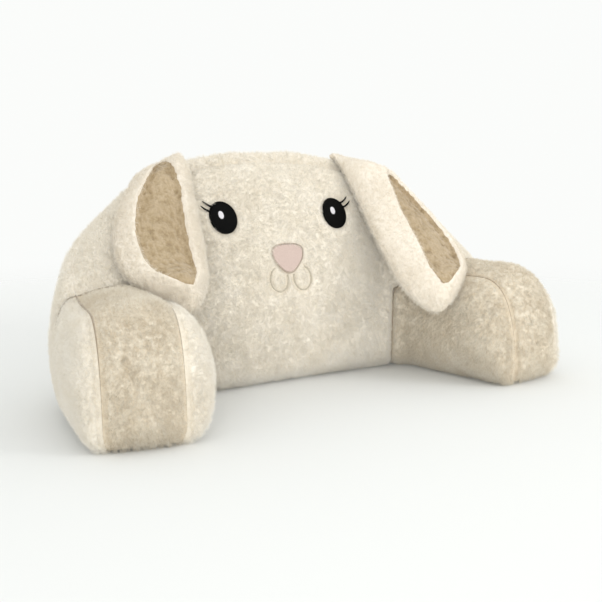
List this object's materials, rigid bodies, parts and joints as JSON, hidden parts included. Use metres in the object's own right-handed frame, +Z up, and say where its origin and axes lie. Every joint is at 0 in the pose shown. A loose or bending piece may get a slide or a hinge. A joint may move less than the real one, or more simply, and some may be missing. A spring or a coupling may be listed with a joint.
{
  "type": "backrest pillow",
  "caption": "Stuffed bunny-faced backrest pillow: upright leaning head, two splayed armrests, hinged lop ears and a zipper across the back.",
  "frame": {"origin": "on the floor under the middle of the pillow's box", "axes": "+Z up, the face looks toward -Y, +X toward the viewer's right"},
  "size_m": [0.9172, 0.4432, 0.406],
  "materials": {
    "fur": "long soft pile",
    "ear_fur": "long soft pile",
    "lining_fur": "short tufted pile",
    "base_cloth": "plain weave",
    "filling": "polyester fibre",
    "black_thread": "satin stitch",
    "white_thread": "satin stitch",
    "pink_felt": "short nap",
    "tan_thread": "stitching",
    "zipper_tape": "herringbone tape",
    "zipper_teeth": "moulded",
    "zipper_metal": "tumbled",
    "label": "satin ribbon"
  },
  "bodies": {
    "back": {"back_filling": "filling", "face_panel": "fur", "rear_panel": "fur", "back_base_cloth": "base_cloth", "left_shoulder_strip": "fur", "right_shoulder_strip": "fur", "left_eye": "black_thread", "right_eye": "black_thread", "left_eye_light": "white_thread", "right_eye_light": "white_thread", "left_lashes": "black_thread", "right_lashes": "black_thread", "nose_patch": "pink_felt", "nose_stitching": "tan_thread", "mouth_stitching": "tan_thread", "upper_zipper_tape": "zipper_tape", "lower_zipper_tape": "zipper_tape", "upper_zipper_teeth": "zipper_teeth", "lower_zipper_teeth": "zipper_teeth", "zipper_stops": "zipper_metal", "care_label": "label"},
    "left_arm": {"left_arm_filling": "filling", "left_arm_gusset": "fur", "left_inner_panel": "fur", "left_outer_panel": "fur", "left_arm_base_cloth": "base_cloth"},
    "right_arm": {"right_arm_filling": "filling", "right_arm_gusset": "fur", "right_inner_panel": "fur", "right_outer_panel": "fur", "right_arm_base_cloth": "base_cloth"},
    "left_ear": {"left_ear_root": "ear_fur", "left_ear_shell": "ear_fur", "left_ear_lining": "lining_fur", "left_ear_batting": "filling"},
    "right_ear": {"right_ear_root": "ear_fur", "right_ear_shell": "ear_fur", "right_ear_lining": "lining_fur", "right_ear_batting": "filling"},
    "slider": {"zipper_slider": "zipper_metal"},
    "pull": {"zipper_pull": "zipper_metal"}
  },
  "joints": [
    {"name": "left_ear_lift", "type": "hinge", "parent": "back", "child": "left_ear", "pos_m": [-0.2065, 0.1135, 0.3825], "axis": [-0.8915, -0.2767, -0.3587], "range_deg": [0, 150]},
    {"name": "right_ear_lift", "type": "hinge", "parent": "back", "child": "right_ear", "pos_m": [0.198, 0.1155, 0.3825], "axis": [-0.9101, 0.2275, 0.3462], "range_deg": [0, 150]},
    {"name": "left_arm_flex", "type": "hinge", "parent": "back", "child": "left_arm", "pos_m": [-0.324, 0.107, 0], "axis": [0, 0, -1], "range_deg": [0, 12], "stiffness_Nm_per_rad": 12},
    {"name": "right_arm_flex", "type": "hinge", "parent": "back", "child": "right_arm", "pos_m": [0.324, 0.107, 0], "axis": [0, 0, 1], "range_deg": [0, 12], "stiffness_Nm_per_rad": 12},
    {"name": "zipper_run", "type": "slide", "parent": "back", "child": "slider", "axis": [-1, 0, 0], "range_m": [0, 0.3]},
    {"name": "pull_swing", "type": "hinge", "parent": "slider", "child": "pull", "pos_m": [0.1475, 0.22205, 0.062], "axis": [0, 0, -1], "range_deg": [0, 170]}
  ]
}
